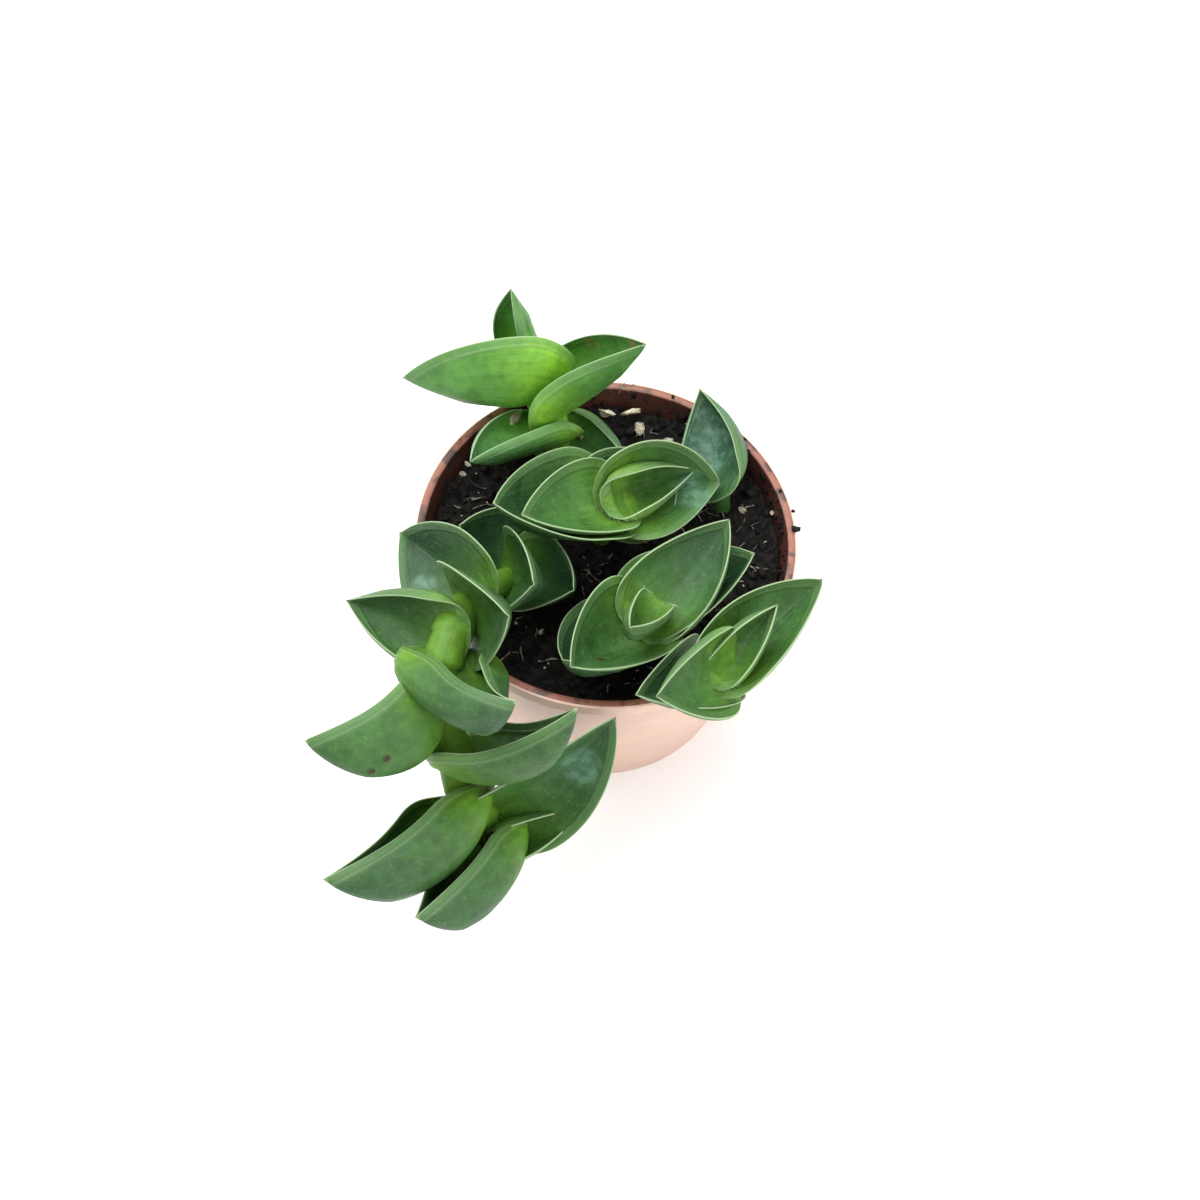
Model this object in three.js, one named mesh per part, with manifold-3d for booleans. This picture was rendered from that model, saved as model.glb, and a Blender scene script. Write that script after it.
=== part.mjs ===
// Chain plant in a small round nursery pot.
// Millimetres, +Z up, +Y to the back. The origin is the centre of the pot's underside.
import * as THREE from 'three';
import { mergeVertices } from 'three/addons/utils/BufferGeometryUtils.js';
import Module from 'manifold-3d';

const wasm = await Module();
wasm.setup();

// Pot
const RIM_RADIUS = 30;
const POT_HEIGHT = 39.5;
const FOOT_RADIUS = 22;
const WALL = 1.6;
const FLOOR = 1.6;
const RIM_BAND = 2.2;
const RIM_STEP = 0.5;
const EDGE_ROUND = 0.4;
const DRAIN_HOLES = 6;
const DRAIN_RADIUS = 2.4;
const DRAIN_CIRCLE = 14;
const POT_SIDES = 48;

// Soil
const GAP = 0.3;
const SOIL_LEVEL = 34.7;
const SOIL_LUMPS = 0.45;
const SOIL_RINGS = 6;
const SOIL_PLAY = 0.1;
const HOLE_PLAY = 1.2;
const HOLE_RISE = 3;

// Stems and leaves
const STEM_RADIUS = 1.5;
const STEM_SIDES = 8;
const STEM_STEP = 3;
const SHEATH = 11;
const SHEATH_START = 10;
const SHEATH_FLARE = 0.4;
const LEAF_ROWS = 8;
const LEAF_STRIPS = 4;
const LEAF_EDGE = 0.6;
const KEEL_BASE = 1.0;
const KEEL_SWELL = 0.8;
const HEEL = 3.5;
const HEEL_MOST = 0.3;
const MARGIN_FALL = 0.8;
const HEEL_SHARE = 0.4;
const MOUTH_SHARE = 0.35;
const HEEL_HOLLOW = 0.9;
const LEAST_HOLLOW = 0.25;
const WIDEST = { rise: 0.42, fall: 0.8 };
const DEEPEST = { rise: 0.6, fall: 0.75 };
const RISE_TO_MARGIN = { rise: 0.42, fall: 0.75 };
const SHUT_TAPER = 2;
const SHUT_BULGE = 2.6;
const TROUGH_AT_HEEL = 1.7;
const TROUGH_EASE = 0.5;
const KEEL_POWER = 1.5;
const END_OUT = 0.65;
const END_DOWN = 0.75;

// Colours of the solids
const POT_COLOR = 0xd7b09c;
const SOIL_COLOR = 0x1c1816;

// Every shoot has a route of its stem and its leaves, lowest leaf first. A leaf is
// [place along the stem, heading, climb, roll, length, half width, depth, droop, sweep,
// gape, radius of its sheath].
// Heading turns from +X to +Y, climb is above the level, roll turns the open face about the leaf.
// Gape is 1 on a leaf that lies open and small on one whose margins nearly close. The sheath wraps
// the stem below the leaf, and is 0 where the stem stays bare.
const SHOOTS = {
  shoot_back_left: {
    color: 0x7fb043,
    route: [[-6.5, 18, 28], [-7.5, 19, 33], [-9, 19.5, 38], [-10.5, 20.5, 41.5], [-12, 22, 44],
      [-14.2, 29.2, 47]],
    leaves: [
      [9, 330, 9, -5, 14.5, 6.5, 4, -2.5, -0.5, 0.6, 0],
      [11, 215, 32, -33, 21.5, 6.5, 4, 5, 4.5, 0.7, 0],
      [15, 36, 57, 44, 22, 7, 6, 8.5, -7, 0.7, 2.8],
      [18.8, 191, 34, -56, 15, 8.6, 8.8, 8.6, -7, 0.9, 2.6],
      [25.4, 157, 50, 110, 10, 6.5, 3.2, 5, -2, 0.7, 2],
    ],
  },
  shoot_centre: {
    color: 0x6f9c57,
    route: [[-1.5, 3.5, 28], [-1, 3, 33.5], [-0.5, 2.5, 39], [0, 2, 44], [1.3, 1.2, 50.5]],
    leaves: [
      [15.5, 51, 0, -6, 11.5, 8, 5, 2, -1, 1, 0],
      [16.5, 201, 12, -7, 19.5, 9.5, 6, 0, 0, 1, 0],
      [20, 39.5, -6.5, -35.5, 15.3, 7.3, 6.5, 4.4, -3.6, 1, 0],
      [20.1, 208, 17, 5, 15.4, 7.3, 3.5, 2, 0, 0.9, 0],
      [21.2, 44, -18, -36, 13.5, 4.4, 5.2, 2.6, -0.8, 0.6, 0],
    ],
  },
  shoot_front: {
    color: 0x5f9150,
    route: [[5.5, -13, 28], [5.5, -14.5, 33.5], [6, -16, 39], [6.5, -17, 44], [7.5, -18, 49]],
    leaves: [
      [10, 225, 10.5, -12, 17.8, 8, 4.5, -3, 1.5, 1, 0],
      [15.5, 42, -5, 10, 19, 7.7, 6, -0.5, -3.5, 1, 0],
      [17.4, 229, 11.5, 8, 15.3, 7.6, 5.4, 2, -0.2, 0.95, 0],
      [19, 50, 7, -10, 18.5, 7.5, 4.5, 2.5, 1.5, 0.8, 0],
      [21.5, 248, 28, 8, 11.5, 3, 3.5, -0.5, -0.5, 0.85, 0],
    ],
  },
  shoot_front_right: {
    color: 0x77a54d,
    route: [[12.5, -17, 28], [13, -18, 33], [14, -20, 39], [17, -25.5, 43.5], [18, -27, 47.5],
      [18.5, -27, 50]],
    leaves: [
      [18.5, 238, 36, 22, 14, 6, 4.5, 5, -3, 1, 0],
      [24.5, 56, 4, -9, 20.5, 6.5, 5, 4, -2.5, 0.85, 0],
      [26, 225, 29, 52, 12.6, 7.9, 2.8, 3.4, 0.3, 0.8, 0],
      [26, 56, 8, -20, 11.5, 3.4, 3.5, 0, 0, 0.75, 0],
    ],
  },
  shoot_back_right: {
    color: 0x6c9a72,
    route: [[18.5, 9.5, 28], [18, 10.5, 33.5], [17.6, 10.8, 37.2], [16.8, 10.8, 40.3]],
    leaves: [
      [13, 90, -8, 33, 16.3, 7, 4, -3.5, 0, 0.7, 0],
    ],
  },
  shoot_trailing: {
    color: 0x5e8f45,
    route: [[-8, 0, 28], [-9, -2, 32.5], [-12, -6, 37], [-15.5, -10.5, 41], [-20, -17.5, 45.5],
      [-22, -24.5, 46.5], [-23, -31, 43], [-21.5, -35.3, 36], [-18.6, -39, 28], [-14.8, -41.8, 20],
      [-12.5, -43, 16.5], [-12, -43.5, 20]],
    leaves: [
      [11.5, 158, 15, 8, 14, 8, 5, -3, 2, 1, 0],
      [12.5, 340, 20, -23, 12.5, 6.5, 4, -1.5, -2, 1, 0],
      [17, 303, 55, -50, 17, 7.5, 4.5, 2.5, -0.5, 1, 0],
      [25.5, 134, -6, 42, 15.5, 8, 5, 3.5, 1, 1, 2.6],
      [28.5, 304, 50, -84, 18, 8.5, 4, 3.5, 0.5, 1, 2.6],
      [34.5, 158, -18, 42, 17, 7, 4.5, 2.5, -1, 0.7, 3.2],
      [39, 289, 14, 20, 25.5, 9.3, 6, -12, 1.5, 0.35, 3.2],
      [45.8, 251.8, 8, -64, 21.4, 8.5, 9.2, -8.5, -2, 0.8, 3.2],
      [54.6, 324, 25.7, 24, 26, 7.3, 5.7, -11.7, 4.6, 0.8, 3.6],
      [64.9, 252, 11, -50, 28, 8.4, 9, -7.4, -5, 0.5, 3.6],
      [67.6, 358.5, 31, -86.5, 24, 8.7, 4.8, 11.5, 6.2, 1, 3.2],
      [75.4, 258.5, 13, -38, 22.5, 8.3, 9, -2.3, -2.4, 0.6, 2.8],
      [77.8, 23, 10, -35, 9, 3.4, 6, 3.5, 0.2, 0.75, 1.8],
    ],
  },
};

const degrees = THREE.MathUtils.degToRad;

// Joins and cuts

function solidOf(geometry) {
  const bare = geometry.clone();
  bare.deleteAttribute('normal');
  bare.deleteAttribute('uv');
  const merged = mergeVertices(bare, 1e-4);
  return new wasm.Manifold(new wasm.Mesh({
    numProp: 3,
    vertProperties: new Float32Array(merged.attributes.position.array),
    triVerts: new Uint32Array(merged.index.array),
  }));
}

function solidOfFaces(points, faces) {
  return new wasm.Manifold(new wasm.Mesh({
    numProp: 3,
    vertProperties: new Float32Array(points.flatMap((p) => [p.x, p.y, p.z])),
    triVerts: new Uint32Array(faces.flat()),
  }));
}

// A leaf base that clasps the stem can close off a small pocket of air. Its faces are left out,
// so the base is solid there, as it is on the plant.
function withoutPockets(index, corners) {
  const label = corners.map((_, i) => i);
  const find = (i) => {
    let top = i;
    while (label[top] !== top) top = label[top];
    return top;
  };
  for (let f = 0; f < index.length; f += 3) {
    label[find(index[f + 1])] = find(index[f]);
    label[find(index[f + 2])] = find(index[f]);
  }
  const volume = new Map();
  for (let f = 0; f < index.length; f += 3) {
    const [a, b, c] = [0, 1, 2].map((k) => corners[index[f + k]]);
    const shell = find(index[f]);
    volume.set(shell, (volume.get(shell) ?? 0) + a.dot(b.clone().cross(c)) / 6);
  }
  return index.filter((_, i) => volume.get(find(index[i - (i % 3)])) > 0);
}

function geometryOf(solid) {
  const mesh = solid.getMesh();
  const geometry = new THREE.BufferGeometry();
  const positions = new THREE.BufferAttribute(new Float32Array(mesh.vertProperties), 3);
  const corners = Array.from({ length: positions.count }, (_, i) => (
    new THREE.Vector3().fromBufferAttribute(positions, i)));
  geometry.setAttribute('position', positions);
  geometry.setIndex(withoutPockets([...mesh.triVerts], corners));
  geometry.computeVertexNormals();
  return geometry;
}

function piece(name, solid, color, roughness) {
  const mesh = new THREE.Mesh(
    geometryOf(solid),
    new THREE.MeshStandardMaterial({ color, roughness, metalness: 0 }),
  );
  mesh.name = name;
  return mesh;
}

// Pot: a turned wall with a thin rim band, and drain holes through the floor

function innerRadius(height) {
  const foot = FOOT_RADIUS - WALL;
  const rim = RIM_RADIUS - WALL;
  return foot + (rim - foot) * (height - FLOOR) / (POT_HEIGHT - FLOOR);
}

function turned(profile) {
  const lathe = new THREE.LatheGeometry(profile.map(([r, z]) => new THREE.Vector2(r, z)), POT_SIDES);
  return solidOf(lathe.rotateX(Math.PI / 2));
}

function pot() {
  const bandFoot = POT_HEIGHT - RIM_BAND;
  const wall = turned([
    [0, 0],
    [FOOT_RADIUS - EDGE_ROUND, 0],
    [FOOT_RADIUS, EDGE_ROUND],
    [RIM_RADIUS - RIM_STEP, bandFoot - RIM_STEP],
    [RIM_RADIUS, bandFoot],
    [RIM_RADIUS, POT_HEIGHT - EDGE_ROUND],
    [RIM_RADIUS - EDGE_ROUND, POT_HEIGHT],
    [RIM_RADIUS - WALL + EDGE_ROUND, POT_HEIGHT],
    [RIM_RADIUS - WALL, POT_HEIGHT - EDGE_ROUND],
    [innerRadius(FLOOR), FLOOR],
    [0, FLOOR],
    [0, 0],
  ]);
  let solid = wall;
  for (let i = 0; i < DRAIN_HOLES; i += 1) {
    const turn = 2 * Math.PI * (i + 0.5) / DRAIN_HOLES;
    const drill = new THREE.CylinderGeometry(DRAIN_RADIUS, DRAIN_RADIUS, 4 * FLOOR, 16).rotateX(Math.PI / 2);
    drill.translate(DRAIN_CIRCLE * Math.cos(turn), DRAIN_CIRCLE * Math.sin(turn), FLOOR / 2);
    solid = solid.subtract(solidOf(drill));
  }
  return solid;
}

// Soil: one lumpy cake that fills the pot, with a plain hole round every stem

function soilHeight(x, y) {
  const lumps = Math.sin(0.55 * x + 1.3) * Math.cos(0.48 * y) + 0.6 * Math.sin(1.1 * x - 0.9 * y);
  return SOIL_LEVEL + SOIL_LUMPS * lumps / 1.6;
}

function soilCake() {
  const points = [new THREE.Vector3(0, 0, soilHeight(0, 0))];
  const faces = [];
  const ring = (k, j) => 1 + k * POT_SIDES + (j % POT_SIDES);
  const reach = innerRadius(SOIL_LEVEL) - GAP - SOIL_PLAY;
  for (let k = 0; k <= SOIL_RINGS; k += 1) {
    for (let j = 0; j < POT_SIDES; j += 1) {
      const turn = 2 * Math.PI * j / POT_SIDES;
      const under = k === SOIL_RINGS;
      const radius = under ? innerRadius(FLOOR + GAP) - GAP - SOIL_PLAY : reach * (k + 1) / SOIL_RINGS;
      const x = radius * Math.cos(turn);
      const y = radius * Math.sin(turn);
      points.push(new THREE.Vector3(x, y, under ? FLOOR + GAP : soilHeight(x, y)));
      if (k === 0) faces.push([0, ring(0, j), ring(0, j + 1)]);
      else {
        faces.push([ring(k - 1, j), ring(k, j), ring(k, j + 1)]);
        faces.push([ring(k - 1, j), ring(k, j + 1), ring(k - 1, j + 1)]);
      }
    }
  }
  const middle = points.push(new THREE.Vector3(0, 0, FLOOR + GAP)) - 1;
  for (let j = 0; j < POT_SIDES; j += 1) faces.push([middle, ring(SOIL_RINGS, j + 1), ring(SOIL_RINGS, j)]);
  return solidOfFaces(points, faces);
}

// Stems

function curveOf(route) {
  const points = route.map((p) => new THREE.Vector3(...p));
  const curve = new THREE.CatmullRomCurve3(points, false, 'catmullrom', 0.5);
  curve.arcLengthDivisions = 400;
  return curve;
}

const stemSteps = (stem) => Math.round(stem.getLength() / STEM_STEP);

function tube(curve, radius, steps) {
  const corners = Array.from({ length: STEM_SIDES }, (_, i) => {
    const turn = 2 * Math.PI * i / STEM_SIDES;
    return new THREE.Vector2(radius * Math.cos(turn), radius * Math.sin(turn));
  });
  const extrude = new THREE.ExtrudeGeometry(new THREE.Shape(corners), {
    steps, extrudePath: curve, bevelEnabled: false,
  });
  return solidOf(extrude);
}

// The hole in the soil follows the stem's own bends and ends just under its foot.
function stemHole(stem) {
  const spaced = stem.getSpacedPoints(stemSteps(stem));
  const top = spaced.findIndex((p) => p.z > SOIL_LEVEL + HOLE_RISE * STEM_RADIUS);
  const [foot, next] = spaced;
  const below = foot.clone().sub(next).setLength(GAP).add(foot);
  const path = new THREE.CurvePath();
  [below, ...spaced.slice(1, top + 1)].reduce((from, to) => {
    path.add(new THREE.LineCurve3(from, to));
    return to;
  });
  const across = (STEM_RADIUS + HOLE_PLAY * GAP) / Math.cos(Math.PI / STEM_SIDES);
  return tube(path, across, top);
}

// Leaves: each is a boat, rounded at the heel that clasps the stem and pointed at the tip

function bump(t, { rise, fall }) {
  const peak = rise / (rise + fall);
  return t ** rise * (1 - t) ** fall / (peak ** rise * (1 - peak) ** fall);
}

function leafFace(length, half, depth, droop, sweep, gape) {
  const heel = Math.min(HEEL, HEEL_MOST * length);
  const lift = depth * bump(heel / (length + heel), RISE_TO_MARGIN);
  const widest = { ...WIDEST, fall: WIDEST.fall + SHUT_TAPER * (1 - gape) ** 2 };
  const rows = [];
  for (let i = 0; i <= LEAF_ROWS; i += 1) {
    const even = i / LEAF_ROWS;
    const t = 0.5 * even + 0.25 * (1 - Math.cos(Math.PI * even));
    const along = -heel + (length + heel) * t;
    const out = Math.max(along, 0) / length;
    const centre = new THREE.Vector3(along, sweep * out * out, -droop * out * out);
    const tangent = new THREE.Vector3(1, 2 * sweep * out / length, -2 * droop * out / length).normalize();
    const up = new THREE.Vector3(0, 0, 1).addScaledVector(tangent, -tangent.z).normalize();
    const side = new THREE.Vector3().crossVectors(up, tangent);
    const fall = MARGIN_FALL * depth * Math.max(1 - t / HEEL_SHARE, 0) ** 2;
    const full = depth * bump(t, DEEPEST);
    const hollow = Math.max(full - HEEL_HOLLOW * fall, LEAST_HOLLOW * full);
    const open = gape + (1 - gape) * Math.max(1 - t / MOUTH_SHARE, 0) ** 2;
    const row = [];
    for (let j = 0; j <= LEAF_STRIPS; j += 1) {
      const v = 2 * j / LEAF_STRIPS - 1;
      const spread = open * v + (1 - open) * SHUT_BULGE * v * (1 - v * v);
      const across = half * bump(t, widest) * spread;
      const height = lift - fall - hollow * (1 - Math.abs(v) ** (TROUGH_AT_HEEL - TROUGH_EASE * t));
      row.push(centre.clone().addScaledVector(side, across).addScaledVector(up, height));
    }
    rows.push({ t, row, tangent, up });
  }
  return rows;
}

function slope(list, at) {
  const from = Math.max(at - 1, 0);
  const to = Math.min(at + 1, list.length - 1);
  return list[to].clone().sub(list[from]).divideScalar(to - from);
}

function leafSolid(stem, spec) {
  const [place, heading, climb, roll, length, half, depth, droop, sweep, gape] = spec;
  const inner = leafFace(length, half, depth, droop, sweep, gape);
  const outer = inner.map(({ t, row, tangent, up }, i) => row.map((point, j) => {
    if (i === 0 || i === LEAF_ROWS) {
      const end = i === 0 ? -1 : 1;
      const off = tangent.clone().multiplyScalar(END_OUT * end).addScaledVector(up, -END_DOWN);
      return point.clone().addScaledVector(off, LEAF_EDGE);
    }
    const alongRow = slope(inner.map((r) => r.row[j]), i);
    const acrossRow = slope(row, j);
    const v = 2 * j / LEAF_STRIPS - 1;
    const keel = KEEL_BASE + KEEL_SWELL * Math.sqrt(4 * t * (1 - t));
    const thick = LEAF_EDGE + (keel - LEAF_EDGE) * (1 - Math.abs(v) ** KEEL_POWER);
    return point.clone().addScaledVector(acrossRow.cross(alongRow).normalize(), thick);
  }));

  const points = [];
  const index = [inner.map((r) => r.row), outer].map((face) => face.map((row, i) => {
    const ends = i === 0 || i === LEAF_ROWS;
    const first = points.length;
    points.push(...(ends ? [row[0]] : row));
    return row.map((_, j) => (ends ? first : first + j));
  }));
  const faces = [];
  const quad = (a, b, c, d) => {
    if (new Set([a, b, c]).size === 3) faces.push([a, b, c]);
    if (new Set([a, c, d]).size === 3) faces.push([a, c, d]);
  };
  const [inside, outside] = index;
  for (let i = 0; i < LEAF_ROWS; i += 1) {
    for (let j = 0; j < LEAF_STRIPS; j += 1) {
      quad(inside[i][j], inside[i + 1][j], inside[i + 1][j + 1], inside[i][j + 1]);
      quad(outside[i][j + 1], outside[i + 1][j + 1], outside[i + 1][j], outside[i][j]);
    }
    const last = LEAF_STRIPS;
    quad(inside[i][last], inside[i + 1][last], outside[i + 1][last], outside[i][last]);
    quad(outside[i][0], outside[i + 1][0], inside[i + 1][0], inside[i][0]);
  }

  const h = degrees(heading);
  const c = degrees(climb);
  const r = degrees(roll);
  const x = new THREE.Vector3(Math.cos(h) * Math.cos(c), Math.sin(h) * Math.cos(c), Math.sin(c));
  const level = new THREE.Vector3(-Math.cos(h) * Math.sin(c), -Math.sin(h) * Math.sin(c), Math.cos(c));
  const z = level.clone().multiplyScalar(Math.cos(r))
    .addScaledVector(new THREE.Vector3().crossVectors(level, x), Math.sin(r));
  const y = new THREE.Vector3().crossVectors(z, x);
  const foot = stem.getPointAt(Math.min(place / stem.getLength(), 1));
  const frame = new THREE.Matrix4().makeBasis(x, y, z).setPosition(foot);
  return solidOfFaces(points.map((p) => p.clone().applyMatrix4(frame)), faces);
}

// A sheath is a short cone round the stem that widens towards its leaf.
function sheathSolid(stem, place, radius) {
  const [from, to] = [Math.max(place - SHEATH, SHEATH_START), place]
    .map((at) => stem.getPointAt(at / stem.getLength()));
  const along = to.clone().sub(from);
  const narrow = STEM_RADIUS + SHEATH_FLARE * (radius - STEM_RADIUS);
  const cone = new THREE.CylinderGeometry(radius, narrow, along.length(), STEM_SIDES);
  const turn = new THREE.Quaternion().setFromUnitVectors(
    new THREE.Vector3(0, 1, 0),
    along.clone().normalize(),
  );
  const middle = from.clone().lerp(to, 0.5);
  return solidOf(cone.applyQuaternion(turn).translate(middle.x, middle.y, middle.z));
}

function shoot({ route, leaves }) {
  const stem = curveOf(route);
  let solid = tube(stem, STEM_RADIUS, stemSteps(stem));
  for (const leaf of leaves) {
    const sheath = leaf[leaf.length - 1];
    solid = solid.add(leafSolid(stem, leaf));
    if (sheath > 0) solid = solid.add(sheathSolid(stem, leaf[0], sheath));
  }
  return solid;
}

// The whole plant

const plant = new THREE.Group();
plant.name = 'chain_plant';
plant.add(piece('pot', pot(), POT_COLOR, 0.6));

let soil = soilCake();
for (const { route } of Object.values(SHOOTS)) soil = soil.subtract(stemHole(curveOf(route)));
plant.add(piece('soil', soil, SOIL_COLOR, 0.95));

for (const [name, spec] of Object.entries(SHOOTS)) {
  plant.add(piece(name, shoot(spec), spec.color, 0.45));
}

export default plant;
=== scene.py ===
"""Chain plant in a small round nursery pot, dressed over its CAD frame.

Metres, +Z up, +Y to the back, origin at the centre of the pot's underside. The object's own sizes
are written in millimetres and scaled by MM where they are used.
"""
import math
import random
from collections import namedtuple

import bmesh
import bpy
import numpy as np
from mathutils import Matrix, Vector, noise


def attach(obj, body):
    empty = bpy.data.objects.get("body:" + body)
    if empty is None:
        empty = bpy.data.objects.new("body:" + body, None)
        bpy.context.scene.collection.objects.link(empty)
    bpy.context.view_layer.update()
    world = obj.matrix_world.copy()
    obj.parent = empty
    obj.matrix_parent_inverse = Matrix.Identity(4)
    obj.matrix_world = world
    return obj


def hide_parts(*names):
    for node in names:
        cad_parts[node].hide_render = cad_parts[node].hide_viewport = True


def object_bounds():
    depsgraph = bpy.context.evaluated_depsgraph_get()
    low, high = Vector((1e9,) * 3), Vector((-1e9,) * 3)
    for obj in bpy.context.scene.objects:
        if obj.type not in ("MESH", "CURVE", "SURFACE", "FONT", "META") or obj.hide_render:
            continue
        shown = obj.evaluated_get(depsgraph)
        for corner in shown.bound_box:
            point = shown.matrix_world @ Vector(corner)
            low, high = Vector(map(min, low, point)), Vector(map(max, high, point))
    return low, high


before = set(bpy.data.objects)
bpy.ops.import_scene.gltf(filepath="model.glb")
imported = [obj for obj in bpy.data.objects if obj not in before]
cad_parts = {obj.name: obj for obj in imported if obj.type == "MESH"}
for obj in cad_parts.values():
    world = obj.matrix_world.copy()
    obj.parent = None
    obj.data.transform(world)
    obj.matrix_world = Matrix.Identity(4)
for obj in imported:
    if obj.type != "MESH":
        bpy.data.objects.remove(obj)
CAD_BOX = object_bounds()

bl_info = {
    "name": "Chain plant",
    "version": (1, 0, 0),
    "blender": (4, 5, 0),
    "location": "View3D > Sidebar > Chain plant",
    "description": "Builds a potted chain plant: pot, soil, leafy shoots and stage",
    "category": "Add Mesh",
}

MM = 0.001
BODY = "root"

# A leaf has its place along the stem, its heading, climb and roll, its length, half width, depth,
# droop, sweep and gape, the radius of its sheath and its age. Heading turns from +X to +Y, climb is
# above the level, and roll turns the open face about the leaf. Gape is 1 on a leaf that lies open
# and small on one whose margins nearly close. The sheath wraps the stem below the leaf, and is 0
# where the stem stays bare. Age is 0 on the youngest, yellow-green leaves and 1 on the oldest,
# bluish ones.
Leaf = namedtuple("Leaf", "place heading climb roll length half depth droop sweep gape sheath age")

# Every shoot has the slot of its material, the route of its stem and its leaves, lowest leaf first.
SHOOTS = {
    "shoot_back_left": {
        "slot": "young_leaf",
        "route": [(-6.5, 18, 28), (-7.5, 19, 33), (-9, 19.5, 38), (-10.5, 20.5, 41.5), (-12, 22, 44),
                  (-14.2, 29.2, 47)],
        "leaves": [
            (9, 330, 9, -5, 14.5, 6.5, 4, -2.5, -0.5, 0.6, 0, 1),
            (11, 215, 32, -33, 21.5, 6.5, 4, 5, 4.5, 0.7, 0, 0.55),
            (15, 36, 57, 44, 22, 7, 6, 8.5, -7, 0.7, 2.8, 0),
            (18.8, 191, 34, -56, 15, 8.6, 8.8, 8.6, -7, 0.9, 2.6, 0),
            (25.4, 157, 50, 110, 10, 6.5, 3.2, 5, -2, 0.7, 2, 0),
        ],
    },
    "shoot_centre": {
        "slot": "leaf",
        "route": [(-1.5, 3.5, 28), (-1, 3, 33.5), (-0.5, 2.5, 39), (0, 2, 44), (1.3, 1.2, 50.5)],
        "leaves": [
            (15.5, 51, -3, -16, 11.5, 8, 5, 2, -1, 1, 0, 0.9),
            (16.5, 201, 12, -7, 19.5, 9.5, 6, 0, 0, 1, 0, 0.6),
            (20, 39.5, -6.5, -35.5, 15.3, 7.3, 6.5, 4.4, -3.6, 1, 0, 0.3),
            (20.1, 208, 17, 5, 15.4, 7.3, 3.5, 2, 0, 0.9, 0, 0.2),
            (21.2, 44, -18, -36, 13.5, 4.4, 5.2, 2.6, -0.8, 0.6, 0, 0.1),
        ],
    },
    "shoot_front": {
        "slot": "leaf",
        "route": [(5.5, -13, 28), (5.5, -14.5, 33.5), (6, -16, 39), (6.5, -17, 44), (7.5, -18, 49)],
        "leaves": [
            (10, 225, 10.5, -12, 17.8, 8, 4.5, -3, 1.5, 1, 0, 0.95),
            (15.5, 42, -5, 10, 19, 7.7, 6, -0.5, -3.5, 1, 0, 0.8),
            (17.4, 229, 11.5, 8, 15.3, 7.6, 5.4, 2, -0.2, 0.95, 0, 0.45),
            (19, 50, 7, -10, 18.5, 7.5, 4.5, 2.5, 1.5, 0.8, 0, 0.7),
            (21.5, 248, 28, 8, 11.5, 3, 3.5, -0.5, -0.5, 0.85, 0, 0.15),
        ],
    },
    "shoot_front_right": {
        "slot": "leaf",
        "route": [(12.5, -17, 28), (13, -18, 33), (14, -20, 39), (17, -25.5, 43.5), (18, -27, 47.5),
                  (18.5, -27, 50)],
        "leaves": [
            (18.5, 238, 36, 22, 14, 6, 4.5, 5, -3, 1, 0, 0.7),
            (24.5, 56, 4, -9, 20.5, 6.5, 5, 4, -2.5, 0.85, 0, 0.3),
            (26, 225, 29, 52, 12.6, 7.9, 2.8, 3.4, 0.3, 0.8, 0, 0.25),
            (26, 56, 8, -20, 11.5, 3.4, 3.5, 0, 0, 0.75, 0, 0.15),
        ],
    },
    "shoot_back_right": {
        "slot": "old_leaf",
        "route": [(18.5, 9.5, 28), (18, 10.5, 33.5), (17.6, 10.8, 37.2), (16.8, 10.8, 40.3)],
        "leaves": [
            (13, 90, -8, 33, 16.3, 7, 4, -3.5, 0, 0.7, 0, 0.9),
        ],
    },
    "shoot_trailing": {
        "slot": "leaf",
        "route": [(-8, 0, 28), (-9, -2, 32.5), (-12, -6, 37), (-15.5, -10.5, 41), (-20, -17.5, 45.5),
                  (-22, -24.5, 46.5), (-23, -31, 43), (-21.5, -35.3, 36), (-18.6, -39, 28),
                  (-14.8, -41.8, 20), (-12.5, -43, 16.5), (-12, -43.5, 20)],
        "leaves": [
            (11.5, 158, 15, 8, 14, 8, 5, -3, 2, 1, 0, 1),
            (12.5, 340, 20, -23, 12.5, 6.5, 4, -1.5, -2, 1, 0, 1),
            (17, 303, 55, -50, 17, 7.5, 4.5, 2.5, -0.5, 1, 0, 0.9),
            (25.5, 134, -6, 42, 15.5, 8, 5, 3.5, 1, 1, 2.6, 0.8),
            (28.5, 304, 50, -84, 18, 8.5, 4, 3.5, 0.5, 1, 2.6, 0.5),
            (34.5, 158, -18, 42, 17, 7, 4.5, 2.5, -1, 0.7, 3.2, 0.45),
            (39, 289, 14, 20, 25.5, 9.3, 6, -12, 1.5, 0.35, 3.2, 0.75),
            (45.8, 251.8, 8, -64, 21.4, 8.5, 9.2, -8.5, -2, 0.8, 3.2, 0.3),
            (54.6, 324, 25.7, 24, 26, 7.3, 5.7, -11.7, 4.6, 0.8, 3.6, 0.5),
            (64.9, 252, 11, -50, 28, 8.4, 9, -7.4, -5, 0.5, 3.6, 0.7),
            (67.6, 358.5, 31, -86.5, 24, 8.7, 4.8, 11.5, 6.2, 1, 3.2, 0.55),
            (75.4, 258.5, 13, -38, 22.5, 8.3, 9, -2.3, -2.4, 0.6, 2.8, 0.65),
            (77.8, 23, 10, -35, 9, 3.4, 6, 3.5, 0.2, 0.75, 1.8, 0.1),
        ],
    },
}

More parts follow.
